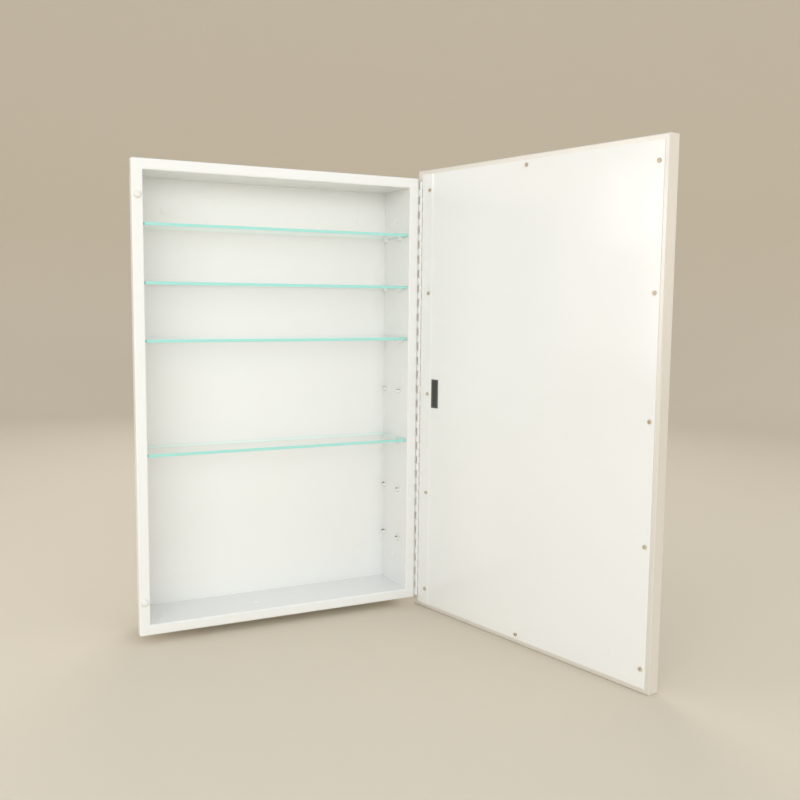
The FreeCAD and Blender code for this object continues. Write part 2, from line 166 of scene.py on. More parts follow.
class CabinetFinishes(bpy.types.PropertyGroup):
    enamel: colour("Enamel", "Baked white enamel of the box and the door panel", (0.905, 0.908, 0.898))
    enamel_age: colour("Enamel age", "Warmer cast that the enamel takes in patches", (0.895, 0.885, 0.858))
    # Near-black painted into the lug hollows: a painted shade for the dark lug slits, not the colour of the steel.
    lug_hollow_painted_shade: colour("Bare steel", "Dark steel in the hollows of the shelf lugs", (0.035, 0.034, 0.032))
    # The edge colour also feeds a faint glow, a painted light; the back edge colour paints the far edges paler,
    # also a painted light.
    glass_edge: colour("Glass edge", "Sea-green of the shelves' ground edges", (0.32, 0.72, 0.655))
    glass_back_painted_light: colour("Glass back edge", "Paler green seen through the glass", (0.72, 0.89, 0.85))
    glass_face: colour("Glass face", "Tint of the shelves seen through their faces", (0.985, 0.998, 0.994))
    stainless: colour("Stainless", "Satin steel of the door frame", (0.885, 0.855, 0.81))
    hinge_steel: colour("Hinge steel", "Bare steel of the hinge pin", (0.50, 0.49, 0.47))
    silver: colour("Silver", "Silvering of the mirror", (0.90, 0.915, 0.91))
    screw: colour("Screw", "Yellow zinc of the panel screws", (0.82, 0.73, 0.58))
    screw_tarnish: colour("Screw tarnish", "Darker patches of the zinc", (0.58, 0.48, 0.37))
    plate: colour("Plate", "Dark field of the blank plate", (0.035, 0.036, 0.036))
    plate_rim: colour("Plate rim", "Bare rim of the blank plate", (0.20, 0.20, 0.195))
    bumper: colour("Bumper", "Soft bumper buttons", (0.895, 0.882, 0.845))
    plug: colour("Plug", "Cream plastic of the hole plugs", (0.935, 0.92, 0.875))
    kraft: colour("Kraft", "Corrugated filler behind the mirror", (0.42, 0.28, 0.15))
    hardboard: colour("Hardboard", "Board that the panel screws bite into", (0.17, 0.09, 0.045))


class CabinetFittings(bpy.types.PropertyGroup):
    panel_edge: length("Panel edge", "Rounding of the door panel's edges", 0.42 * MM)
    screw_head_height: length("Screw head", "Height of a screw's pan head", 2.0 * MM)
    screw_crown: length("Screw crown", "Rounding of the pan head", 1.25 * MM)
    screw_shank: length("Screw shank", "Radius of a screw's shank", 1.7 * MM)
    recess_length: length("Recess length", "Length of each arm of the cross recess", 3.9 * MM)
    recess_width: length("Recess width", "Width of each arm of the cross recess", 0.8 * MM)
    recess_depth: length("Recess depth", "Depth of the cross recess", 1.1 * MM)
    plate_corner: length("Plate corner", "Rounding of the plate's corners", 1.2 * MM)
    plate_border: length("Plate border", "Width of the plate's raised rim", 0.9 * MM)
    plate_sink: length("Plate sink", "Depth of the plate's field below its rim", 0.14 * MM)
    bumper_foot: length("Bumper foot", "Height of a bumper's straight foot", 1.2 * MM)
    bumper_segments: IntProperty(name="Bumper rings", description="Steps of the bumper's dome", default=8)
    plug_rim: length("Plug rim", "How far a hole plug's head laps over its hole", 0.9 * MM)
    plug_crown: length("Plug crown", "Height of a hole plug's head", 0.6 * MM)
    plug_play: length("Plug play", "Room between a hole plug's shank and its hole", 0.15 * MM)
    panel_ramp: length("Panel ramp", "How far the panel's bend runs past each side of its step", 1.0 * MM)


class CabinetStudio(bpy.types.PropertyGroup):
    ground: colour("Ground", "Pale floor and cove", (0.74, 0.66, 0.54))
    cove_radius: length("Cove radius", "Reach of the level floor", 3.0)
    cove_bend: length("Cove bend", "Radius of the sweep from floor to wall", 1.0)
    cove_height: length("Cove height", "Height of the cove's wall over its bend", 2.4)
    camera_place: FloatVectorProperty(
        name="Camera place", description="Where the camera stands", default=(-0.5129, -1.4608, 0.1581),
        size=3, subtype="TRANSLATION", unit="LENGTH",
    )
    camera_yaw: FloatProperty(
        name="Yaw", description="Turn of the camera from looking along +Y",
        default=math.radians(-26.484), subtype="ANGLE", unit="ROTATION",
    )
    camera_pitch: FloatProperty(
        name="Pitch", description="Tilt of the camera above the level",
        default=math.radians(-5.989), subtype="ANGLE", unit="ROTATION",
    )
    camera_roll: FloatProperty(
        name="Roll", description="Roll of the camera about its view",
        default=math.radians(-0.590), subtype="ANGLE", unit="ROTATION",
    )
    camera_lens: FloatProperty(
        name="Lens", description="Focal length on a 36 mm sensor", default=42.11, unit="CAMERA",
    )
    daylight: colour("Daylight", "Even light of the room", (0.88, 0.94, 1.0))
    daylight_strength: FloatProperty(
        name="Daylight strength", description="Strength of the even light", default=0.80,
    )


# Materials

class Value:
    """A socket's value in a material, on which Python arithmetic adds Math nodes."""

    def __init__(self, paint, socket):
        self.paint = paint
        self.socket = socket

    def math(self, operation, other, swapped=False):
        pair = (other, self) if swapped else (self, other)
        made = self.paint.node("ShaderNodeMath", {"operation": operation}, {0: pair[0], 1: pair[1]})
        return made["Value"]

    def __add__(self, other):
        return self.math("ADD", other)

    def __sub__(self, other):
        return self.math("SUBTRACT", other)

    def __rsub__(self, other):
        return self.math("SUBTRACT", other, swapped=True)

    def __mul__(self, other):
        return self.math("MULTIPLY", other)

    def __gt__(self, other):
        return self.math("GREATER_THAN", other)

    def __lt__(self, other):
        return self.math("LESS_THAN", other)

    def __abs__(self):
        return self.math("ABSOLUTE", 0.0)

    __radd__ = __add__
    __rmul__ = __mul__


class Paint:
    """A material and the nodes that make it."""

    MIX_FACTOR, MIX_FIRST, MIX_SECOND = 0, 6, 7

    def __init__(self, name):
        self.material = bpy.data.materials.new(name)
        self.material.use_nodes = True
        self.tree = self.material.node_tree
        self.tree.nodes.clear()

    def node(self, kind, settings=None, sockets=None):
        """Add a node, set it up, fill or link its inputs and give its outputs by name."""
        made = self.tree.nodes.new(kind)
        for name, setting in (settings or {}).items():
            if name == "stops":
                self.set_stops(made.color_ramp, setting)
            else:
                setattr(made, name, setting)
        for name, content in (sockets or {}).items():
            if isinstance(content, Value):
                self.tree.links.new(content.socket, made.inputs[name])
            else:
                made.inputs[name].default_value = content
        return {output.name: Value(self, output) for output in made.outputs if output.enabled}

    @staticmethod
    def set_stops(ramp, stops):
        for index, (position, shade) in enumerate(stops):
            if index >= len(ramp.elements):
                ramp.elements.new(position)
            ramp.elements[index].position = position
            ramp.elements[index].color = (shade, shade, shade, 1.0)

    def place(self, door=False, stretch=(1.0, 1.0, 1.0)):
        """Object coordinates, in the door's own axes if it is the door's, stretched by a scale."""
        vector = self.node("ShaderNodeTexCoord")["Object"]
        if door:
            vector = self.node("ShaderNodeMapping", {"vector_type": "TEXTURE"}, {
                "Vector": vector, "Location": HINGE, "Rotation": (0.0, 0.0, OPEN_ANGLE),
            })["Vector"]
        if stretch != (1.0, 1.0, 1.0):
            vector = self.node("ShaderNodeMapping", None, {"Vector": vector, "Scale": stretch})["Vector"]
        return vector

    def axis(self, vector, name):
        """One component of a vector."""
        return self.node("ShaderNodeSeparateXYZ", None, {"Vector": vector})[name]

    def facing(self):
        """The way a surface faces, in its piece's own axes."""
        return self.node("ShaderNodeTexCoord")["Normal"]

    def noise(self, place, scale, detail=2.0, roughness=0.5):
        """Soft noise from 0 to 1, with so many cells to the metre."""
        return self.node("ShaderNodeTexNoise", None, {
            "Vector": place, "Scale": scale, "Detail": detail, "Roughness": roughness,
        })["Fac"]

    def ramp(self, factor, stops):
        """A value led through stops of position and level."""
        return self.node("ShaderNodeValToRGB", {"stops": stops}, {"Fac": factor})["Color"]

    def tint(self, factor, first, second):
        """A colour between two, by a factor."""
        return self.node("ShaderNodeMix", {"data_type": "RGBA"}, {
            self.MIX_FACTOR: factor, self.MIX_FIRST: rgba(first), self.MIX_SECOND: rgba(second),
        })["Result"]

    def bump(self, height, distance, strength=1.0, normal=None):
        """A surface normal shaped by a height."""
        sockets = {"Height": height, "Distance": distance, "Strength": strength}
        if normal is not None:
            sockets["Normal"] = normal
        return self.node("ShaderNodeBump", None, sockets)["Normal"]

    def surface(self, **sockets):
        """A Principled shader; an input's name has underscores for spaces."""
        named = {name.replace("_", " "): content for name, content in sockets.items()}
        return self.node("ShaderNodeBsdfPrincipled", None, named)["BSDF"]

    def mix(self, factor, first, second):
        """A shader between two, by a factor."""
        return self.node("ShaderNodeMixShader", None, {0: factor, 1: first, 2: second})["Shader"]

    def finish(self, shader):
        self.node("ShaderNodeOutputMaterial", None, {"Surface": shader})
        return self.material


def rgba(content):
    """A plain colour with its alpha, or a value as it is."""
    return content if isinstance(content, Value) else (*content, 1.0)


def white_enamel(name, finishes, door=False, dullness=0.24, hollows=False):
    """Baked enamel on sheet steel: faint waves, orange peel and a slightly uneven gloss.

    The hollows behind the lugs of a side wall face outwards from inside the wall, and are painted near-black, a
    painted shade that makes the lug slits look dark.
    """
    paint = Paint(name)
    place = paint.place(door)
    cloud = paint.noise(place, 3.5, detail=3.0)
    speckle = paint.noise(place, 260.0, detail=2.0)
    waves = paint.noise(place, 4.0, detail=0.0)
    peel = paint.noise(place, 620.0, detail=1.0)
    smears = paint.noise(paint.place(door, (9.0, 9.0, 2.5)), 1.0, detail=4.0, roughness=0.6)
    aged = paint.ramp(cloud * 0.85 + speckle * 0.15, [(0.42, 0.0), (0.72, 0.55)])
    normal = paint.bump(waves, 1.4 * MM, 0.35)
    normal = paint.bump(peel, 0.05 * MM, 0.35, normal)
    shade = paint.tint(aged, finishes.enamel, finishes.enamel_age)
    # Painted shade: faces inside the wall that turn outward, the lug hollows, are coloured near-black so that the
    # lug slits look dark.
    if hollows:
        skin, turned_out = 0.1 * MM, 0.002
        outer_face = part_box("back_panel")[1].x
        across = paint.axis(place, "X")
        outward = paint.axis(paint.facing(), "X") * across
        bare = (outward > turned_out) * (outer_face - skin > abs(across))
        shade = paint.tint(bare, shade, finishes.lug_hollow_painted_shade)
    shader = paint.surface(
        Base_Color=shade,
        Roughness=dullness + (smears - 0.5) * 0.12 + (speckle - 0.5) * 0.04,
        Coat_Weight=0.35, Coat_Roughness=0.08, Normal=normal,
    )
    return paint.finish(shader)


def shelf_glass(name, finishes):
    """Clear plate glass: see-through faces and sea-green ground edges, with a faint painted glow on the edges and
    far edges painted lighter.
    """
    paint = Paint(name)
    place = paint.place()
    edge = paint.ramp(abs(paint.axis(paint.facing(), "Z")), [(0.55, 1.0), (0.9, 0.0)])
    streak = paint.noise(paint.place(False, (40.0, 40.0, 600.0)), 1.0, detail=2.0)
    low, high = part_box("shelf_1")
    depth = paint.axis(place, "Y")
    # Painted light: the same ground edge is painted paler towards the back of the shelf.
    behind = paint.ramp((depth - low.y) * (1 / (high.y - low.y)), [(0.05, 0.0), (0.5, 1.0)])
    edge_shade = paint.tint(streak, finishes.glass_edge, [c ** 0.8 for c in finishes.glass_edge])
    edge_shade = paint.tint(behind, edge_shade, finishes.glass_back_painted_light)
    smudge = paint.noise(place, 14.0, detail=4.0, roughness=0.6)
    clear = paint.node("ShaderNodeBsdfTransparent", None, {"Color": rgba(finishes.glass_face)})["BSDF"]
    shine = paint.surface(
        Base_Color=rgba((1.0, 1.0, 1.0)), Metallic=1.0, Roughness=0.015 + smudge * 0.05,
    )
    inside = paint.node("ShaderNodeNewGeometry")["Backfacing"]
    mirrored = paint.node("ShaderNodeFresnel", None, {"IOR": 1.35})["Fac"] * (1.0 - inside)
    face = paint.mix(mirrored, clear, shine)
    # Painted light: the edges glow faintly in their own colour, though glass gives no light.
    ground = paint.surface(
        Base_Color=edge_shade, Roughness=0.18 + streak * 0.1, IOR=1.5,
        Emission_Color=edge_shade, Emission_Strength=0.05,
    )
    return paint.finish(paint.mix(edge, face, ground))


def brushed_steel(name, shade, door=True, grain=UPRIGHT_GRAIN, dullness=0.36, metal=0.5):
    """Steel drawn in one direction, with fine lines, soft streaks and a few finger marks.

    A satin finish scatters much of its light, so it counts as metal only in part.
    """
    paint = Paint(name)
    lines = paint.noise(paint.place(door, grain), 1.0, detail=3.0, roughness=0.65)
    coarse = tuple(c * 0.12 for c in grain)
    streaks = paint.noise(paint.place(door, coarse), 1.0, detail=2.0)
    marks = paint.noise(paint.place(door), 22.0, detail=4.0, roughness=0.6)
    dull = paint.ramp(marks, [(0.5, 0.0), (0.75, 1.0)])
    dark = [c * 0.94 for c in shade]
    shader = paint.surface(
        Base_Color=paint.tint(lines * 0.5 + streaks * 0.5, dark, shade), Metallic=metal,
        Roughness=dullness + (lines - 0.5) * 0.10 + (streaks - 0.5) * 0.12 + dull * 0.06,
        Normal=paint.bump(lines, 0.02 * MM, 0.25),
    )
    return paint.finish(shader)


def mirror_silver(name, finishes):
    """Silvered glass, with faint wiping marks and dust."""
    paint = Paint(name)
    wipes = paint.noise(paint.place(True, (5.0, 5.0, 11.0)), 1.0, detail=4.0, roughness=0.6)
    dust = paint.noise(paint.place(True), 900.0, detail=1.0)
    specks = paint.ramp(dust, [(0.70, 0.0), (0.78, 1.0)])
    shader = paint.surface(
        Base_Color=paint.tint(specks * 0.25, finishes.silver, (0.72, 0.73, 0.72)), Metallic=1.0,
        Roughness=0.015 + wipes * 0.03 + specks * 0.15,
    )
    return paint.finish(shader)


def fibre_board(name, shade, grain, scale):
    """Board of pressed fibres, with darker flecks."""
    paint = Paint(name)
    fibres = paint.noise(paint.place(True, grain), 1.0, detail=5.0, roughness=0.7)
    flecks = paint.noise(paint.place(True), scale, detail=3.0)
    shader = paint.surface(
        Base_Color=paint.tint(fibres * 0.6 + flecks * 0.4, [c * 0.62 for c in shade], shade),
        Roughness=0.8 + (flecks - 0.5) * 0.2, Normal=paint.bump(fibres, 0.15 * MM, 0.6),
    )
    return paint.finish(shader)


def soft_rubber(name, shade):
    """Rubber or soft plastic with a dusty bloom."""
    paint = Paint(name)
    bloom = paint.noise(paint.place(), 480.0, detail=3.0)
    shader = paint.surface(
        Base_Color=paint.tint(bloom, [c * 0.95 for c in shade], shade),
        Roughness=0.42 + bloom * 0.2, Normal=paint.bump(bloom, 0.04 * MM, 0.5),
    )
    return paint.finish(shader)


def yellow_zinc(name, finishes):
    """Zinc plating with a yellow cast, darker where it has tarnished."""
    paint = Paint(name)
    cast = paint.noise(paint.place(True), 330.0, detail=3.0)
    patches = paint.ramp(cast, [(0.38, 0.0), (0.66, 1.0)])
    shader = paint.surface(
        Base_Color=paint.tint(patches, finishes.screw_tarnish, finishes.screw), Metallic=0.7,
        Roughness=0.36 - patches * 0.12, Normal=paint.bump(cast, 0.03 * MM, 0.5),
    )
    return paint.finish(shader)


def dark_plate(name, finishes, rim_level):
    """Blackened foil plate, with its rim rubbed paler."""
    paint = Paint(name)
    place = paint.place(True)
    lines = paint.noise(paint.place(True, (2200.0, 2200.0, 30.0)), 1.0, detail=2.0)
    wear = paint.noise(place, 700.0, detail=3.0)
    outward = paint.axis(place, "Y")
    rim = (outward > rim_level) * paint.ramp(wear, [(0.3, 0.45), (0.7, 1.0)])
    shader = paint.surface(
        Base_Color=paint.tint(rim, finishes.plate, finishes.plate_rim),
        Roughness=0.42 + (lines - 0.5) * 0.2 - rim * 0.08, Metallic=rim * 0.6,
        Normal=paint.bump(lines, 0.015 * MM, 0.5),
    )
    return paint.finish(shader)


# Modelling helpers

def dress(nodes, material):
    """Give CAD nodes a material."""
    for name in nodes:
        obj = frame["nodes"][name]
        if not obj.material_slots:
            obj.data.materials.append(material)
        for slot in obj.material_slots:
            slot.material = material


def clear_selection():
    if bpy.context.object and bpy.context.object.mode != "OBJECT":
        bpy.ops.object.mode_set(mode="OBJECT")
    bpy.ops.object.select_all(action="DESELECT")


def new_piece(name):
    """Name the primitive that was just added, and open it for editing."""
    piece = bpy.context.object
    piece.name = name
    piece.data.name = name
    bpy.ops.object.transform_apply(location=True, rotation=True, scale=True)
    bpy.ops.object.mode_set(mode="EDIT")
    return piece


def pick(piece, kind, wanted):
    """Select only the faces or edges that the test accepts."""
    bpy.ops.mesh.select_mode(type=kind)
    bpy.ops.mesh.select_all(action="DESELECT")
    mesh = bmesh.from_edit_mesh(piece.data)
    found = 0
    for item in (mesh.faces if kind == "FACE" else mesh.edges):
        if wanted(item):
            item.select_set(True)
            found += 1
    mesh.select_flush(True)
    bmesh.update_edit_mesh(piece.data)
    if not found:
        raise RuntimeError("%s: nothing to select" % piece.name)


def pick_faces(piece, direction, limit=0.99):
    """Select the faces that look one way."""
    way = Vector(direction)
    pick(piece, "FACE", lambda face: face.normal.dot(way) > limit)


def add_modifier(piece, kind, **settings):
    """Add a modifier, set it up and apply it."""
    modifier = piece.modifiers.new(kind.title(), kind)
    for name, setting in settings.items():
        setattr(modifier, name, setting)
    bpy.context.view_layer.objects.active = piece
    bpy.ops.object.modifier_apply(modifier=modifier.name)


def seat(piece, axes):
    """Move the piece's mesh by a matrix, with its object left at the origin."""
    piece.data.transform(axes)
    piece.data.update()


def set_copies(pattern, seats, name):
    """Set a copy of a piece, with its own mesh, at each seat, and join the copies under one name."""
    copies = []
    for axes in seats:
        copy = pattern.copy()
        copy.data = pattern.data.copy()
        bpy.context.collection.objects.link(copy)
        seat(copy, axes)
        copies.append(copy)
    bpy.data.objects.remove(pattern)
    clear_selection()
    for copy in copies:
        copy.select_set(True)
    bpy.context.view_layer.objects.active = copies[0]
    bpy.ops.object.join()
    copies[0].name = name
    return copies[0]


def hand_over(piece, body, material, node=None):
    """Finish a piece: its shading, material, body, slot and the CAD node that it stands for."""
    clear_selection()
    piece.select_set(True)
    bpy.context.view_layer.objects.active = piece
    bpy.ops.object.shade_smooth_by_angle(angle=SHARP_ANGLE)
    add_modifier(piece, "WEIGHTED_NORMAL", keep_sharp=True, weight=FLAT_WEIGHT)
    piece.data.materials.clear()
    piece.data.materials.append(material)
    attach(piece, body)
    if node:
        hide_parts(node)
    clear_selection()


def door_points(node):
    """A CAD node's corners in the door's own axes."""
    to_door = DOOR_AXES.inverted()
    return [to_door @ vertex.co for vertex in frame["nodes"][node].data.vertices]


def corners(points):
    """Lowest and highest corner of some points."""
    low = Vector([min(p[i] for p in points) for i in range(3)])
    high = Vector([max(p[i] for p in points) for i in range(3)])
    return low, high


def clusters(points, reach):
    """Groups of points, each within a reach of its group's first point."""
    groups = []
    for point in points:
        for group in groups:
            if (point - group[0]).length < reach:
                group.append(point)
                break
        else:
            groups.append([point])
    return groups


# Pieces

class CABINET_OT_box(bpy.types.Operator):
    """Enamel the folded steel box and the hinge leaf that is welded to it"""
    bl_idname = "cabinet.box"
    bl_label = "Steel box"

    def execute(self, context):
        finishes = context.scene.cabinet_finishes
        dress(PLAIN_WALLS + ("cabinet_hinge_leaf",), white_enamel("box_enamel", finishes))
        dress(SIDE_WALLS, white_enamel("side_wall_enamel", finishes, hollows=True))
        return {"FINISHED"}


class CABINET_OT_shelves(bpy.types.Operator):
    """Make the shelves clear plate glass"""
    bl_idname = "cabinet.shelves"
    bl_label = "Glass shelves"

    def execute(self, context):
        dress(SHELF_NODES, shelf_glass("shelf_glass", context.scene.cabinet_finishes))
        return {"FINISHED"}


class CABINET_OT_hinge(bpy.types.Operator):
    """Finish the door's hinge leaf and the pin"""
    bl_idname = "cabinet.hinge"
    bl_label = "Piano hinge"

    def execute(self, context):
        finishes = context.scene.cabinet_finishes
        dress(("door_hinge_leaf",), white_enamel("leaf_enamel", finishes, door=True))
        bare = brushed_steel("pin_steel", finishes.hinge_steel, door=False, dullness=0.35, metal=1.0)
        dress(("hinge_pin",), bare)
        return {"FINISHED"}


class CABINET_OT_door_frame(bpy.types.Operator):
    """Finish the four rails of the door frame, each with its grain along it"""
    bl_idname = "cabinet.door_frame"
    bl_label = "Door frame"

    def execute(self, context):
        shade = context.scene.cabinet_finishes.stainless
        dress(UPRIGHT_RAILS, brushed_steel("stainless_upright", shade, grain=UPRIGHT_GRAIN))
        dress(LEVEL_RAILS, brushed_steel("stainless_level", shade, grain=LEVEL_GRAIN))
        return {"FINISHED"}


class CABINET_OT_door_filling(bpy.types.Operator):
    """Finish the mirror, the corrugated filler and the backing board"""
    bl_idname = "cabinet.door_filling"
    bl_label = "Mirror and filling"

    def execute(self, context):
        finishes = context.scene.cabinet_finishes
        dress(("mirror_glass",), mirror_silver("mirror_silver", finishes))
        dress(("corrugated_filler",), fibre_board("kraft_board", finishes.kraft, (160.0, 160.0, 8.0), 300.0))
        dress(("backing_board",), fibre_board("hardboard", finishes.hardboard, (240.0, 240.0, 240.0), 700.0))
        return {"FINISHED"}


class CABINET_OT_door_panel(bpy.types.Operator):
    """Model the door's inner panel: a sheet stepped over the hinge leaf, with rounded edges"""
    bl_idname = "cabinet.door_panel"
    bl_label = "Door panel"

    def execute(self, context):
        fittings = context.scene.cabinet_fittings
        points = door_points("door_inner_panel")
        low, high = corners(points)
        free_side = [p for p in points if p.x < low.x + NEAR]
        field_face = max(p.y for p in free_side)
        gauge = field_face - min(p.y for p in free_side)
        step = min(p.x for p in points if p.y > high.y - NEAR)
        foot = max(p.x for p in points if abs(p.y - field_face) < NEAR and p.x < step)
        start, end = step + fittings.panel_ramp, foot - fittings.panel_ramp
        clear_selection()
        bpy.ops.mesh.primitive_plane_add(size=1, rotation=(-math.pi / 2, 0, 0))
        bpy.context.object.location = ((high.x + start) / 2, high.y, (low.z + high.z) / 2)
        bpy.context.object.scale = (high.x - start, high.z - low.z, 1)
        panel = new_piece("door_panel")
        pick(panel, "EDGE", lambda edge: all(v.co.x < start + NEAR for v in edge.verts))
        last = Vector((start, high.y, 0))
        for share in [index / RAMP_STEPS for index in range(1, RAMP_STEPS + 1)]:
            fall = share * share * (3 - 2 * share)
            spot = Vector((start + share * (end - start), high.y + fall * (field_face - high.y), 0))
            bpy.ops.mesh.extrude_region_move(TRANSFORM_OT_translate={"value": spot - last})
            last = spot
        bpy.ops.mesh.extrude_region_move(TRANSFORM_OT_translate={"value": (low.x - end, 0, 0)})
        bpy.ops.mesh.select_all(action="SELECT")
        bpy.ops.mesh.normals_make_consistent(inside=False)
        bpy.ops.object.mode_set(mode="OBJECT")
        outward = 1.0 if panel.data.polygons[0].normal.y > 0 else -1.0
        add_modifier(panel, "SOLIDIFY", thickness=gauge, offset=-outward)
        add_modifier(
            panel, "BEVEL", width=fittings.panel_edge, segments=EDGE_STEPS, limit_method="ANGLE",
            angle_limit=SHEET_EDGE,
        )
        seat(panel, DOOR_AXES)
        enamel = white_enamel("panel_enamel", context.scene.cabinet_finishes, door=True, dullness=0.17)
        hand_over(panel, "door", enamel, "door_inner_panel")
        return {"FINISHED"}


class CABINET_OT_panel_screws(bpy.types.Operator):
    """Model one pan-head screw with a cross recess, and set a copy at each place"""
    bl_idname = "cabinet.panel_screws"
    bl_label = "Panel screws"

    def execute(self, context):
        fittings = context.scene.cabinet_fittings
        groups = clusters(door_points("panel_screws"), SCREW_REACH)
        boxes = [corners(group) for group in groups]
        low, high = boxes[0]
        head_radius = (high.x - low.x) / 2
        shank_length = high.y - low.y - fittings.screw_head_height
        screw = self.model(fittings, head_radius, shank_length)
        stand = Matrix.Rotation(-math.pi / 2, 4, "X")
        seats = []
        for low, high in boxes:
            spot = Vector(((low.x + high.x) / 2, high.y - fittings.screw_head_height, (low.z + high.z) / 2))
            turn = Matrix.Rotation(spot.z * SCREW_TURN_UP + spot.x * SCREW_TURN_ACROSS, 4, "Z")
            seats.append(DOOR_AXES @ Matrix.Translation(spot) @ stand @ turn)
        screws = set_copies(screw, seats, "pan_head_screws")
        zinc = yellow_zinc("yellow_zinc", context.scene.cabinet_finishes)
        hand_over(screws, "door", zinc, "panel_screws")
        return {"FINISHED"}

    def model(self, fittings, head_radius, shank_length):
        """A screw on Z, with the seat of its head at the origin."""
        height = fittings.screw_head_height
        clear_selection()
        bpy.ops.mesh.primitive_cylinder_add(
            vertices=HEAD_SIDES, radius=head_radius, depth=height, location=(0, 0, height / 2),
        )
        screw = new_piece("screw")
        pick_faces(screw, (0, 0, -1))
        bpy.ops.mesh.inset(thickness=head_radius - fittings.screw_shank)
        bpy.ops.mesh.extrude_region_move(TRANSFORM_OT_translate={"value": (0, 0, -shank_length)})
        pick(screw, "EDGE", lambda edge: all(v.co.z > height - NEAR for v in edge.verts))
        bpy.ops.mesh.bevel(
            offset=fittings.screw_crown, segments=ROUNDING_STEPS, profile=0.5, clamp_overlap=True,
        )
        bpy.ops.object.mode_set(mode="OBJECT")
        for arm in range(2):
            cutter = self.recess(fittings, height, arm * math.pi / 2)
            add_modifier(screw, "BOOLEAN", operation="DIFFERENCE", object=cutter, solver="EXACT")
            bpy.data.objects.remove(cutter)
        return screw

    def recess(self, fittings, height, quarter):
        """One arm of the cross recess, narrower at its foot."""
        depth = fittings.recess_depth
        clear_selection()
        bpy.ops.mesh.primitive_cube_add(size=1, location=(0, 0, height), rotation=(0, 0, quarter))
        bpy.context.object.scale = (fittings.recess_length, fittings.recess_width, 2 * depth)
        cutter = new_piece("recess")
        pick_faces(cutter, (0, 0, -1))
        bpy.ops.transform.resize(value=(RECESS_FOOT, RECESS_FOOT, 1))
        bpy.ops.object.mode_set(mode="OBJECT")
        return cutter


class CABINET_OT_blank_plate(bpy.types.Operator):
    """Model the blank plate on the panel: rounded corners and a raised rim round a sunk field"""
    bl_idname = "cabinet.blank_plate"
    bl_label = "Blank plate"

    def execute(self, context):
        fittings = context.scene.cabinet_fittings
        low, high = corners(door_points("label_plate"))
        clear_selection()
        bpy.ops.mesh.primitive_cube_add(size=1, location=(low + high) / 2)
        bpy.context.object.scale = high - low
        plate = new_piece("blank_plate")
        pick(plate, "EDGE", lambda edge: abs(edge.verts[0].co.y - edge.verts[1].co.y) > NEAR)
        bpy.ops.mesh.bevel(offset=fittings.plate_corner, segments=ROUNDING_STEPS)
        pick_faces(plate, (0, 1, 0))
        bpy.ops.mesh.inset(thickness=fittings.plate_border)
        bpy.ops.mesh.inset(thickness=fittings.plate_sink, depth=-fittings.plate_sink)
        upper = (low.y + high.y) / 2
        pick(plate, "EDGE", lambda edge: (
            edge.calc_face_angle(0) > RIM_EDGE and all(v.co.y > upper for v in edge.verts)
        ))
        bpy.ops.mesh.bevel(offset=fittings.plate_sink / 2, segments=RIM_STEPS)
        bpy.ops.object.mode_set(mode="OBJECT")
        seat(plate, DOOR_AXES)
        rim_level = high.y - fittings.plate_sink / 2
        finish = dark_plate("dark_plate", context.scene.cabinet_finishes, rim_level)
        hand_over(plate, "door", finish, "label_plate")
        return {"FINISHED"}


class CABINET_OT_bumpers(bpy.types.Operator):
    """Model the bumper buttons: a straight foot and a domed crown"""
    bl_idname = "cabinet.bumpers"
    bl_label = "Door bumpers"

    def execute(self, context):
        fittings = context.scene.cabinet_fittings
        rubber = soft_rubber("bumper_rubber", context.scene.cabinet_finishes.bumper)
        for node in ("upper_bumper", "lower_bumper"):
            low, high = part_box(node)
            radius = (high.x - low.x) / 2
            height = high.y - low.y
            clear_selection()
            bpy.ops.mesh.primitive_cylinder_add(
                vertices=BUMPER_SIDES, radius=radius, depth=height, location=(low + high) / 2,
                rotation=(math.pi / 2, 0, 0),
            )
            button = new_piece(node.replace("bumper", "button"))
            pick(button, "EDGE", lambda edge: all(v.co.y < low.y + NEAR for v in edge.verts))
            bpy.ops.mesh.bevel(
                offset=height - fittings.bumper_foot, segments=fittings.bumper_segments, profile=0.5,
                clamp_overlap=True,
            )
            bpy.ops.object.mode_set(mode="OBJECT")
            hand_over(button, "cabinet", rubber, node)
        return {"FINISHED"}


